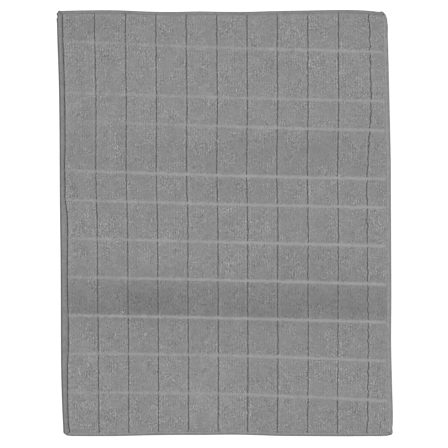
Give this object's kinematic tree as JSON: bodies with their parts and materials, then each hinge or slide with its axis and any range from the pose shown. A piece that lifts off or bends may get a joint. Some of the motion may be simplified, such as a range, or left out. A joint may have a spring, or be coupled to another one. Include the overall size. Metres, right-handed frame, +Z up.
{
  "type": "dish drying mat",
  "caption": "Flat rectangular mat of quilted grey terry cloth with narrow taped edges, laid on a worktop so that washed dishes can drain on it.",
  "frame": {"origin": "on the surface that the mat lies on, under the middle of its bounding box", "axes": "+Y along the mat's length towards its head end, +X across it to the right seen from above, +Z up out of its quilted face"},
  "size_m": [0.356, 0.4516, 0.0056],
  "materials": {
    "terry_cloth": "matt grey microfibre terry with a short soft pile",
    "binding_tape": "smooth grey woven polyester tape, sewn with thread of the same colour"
  },
  "bodies": {
    "root": {"mat": "terry_cloth", "binding_left": "binding_tape", "binding_right": "binding_tape", "binding_head": "binding_tape", "binding_foot": "binding_tape"}
  },
  "joints": []
}
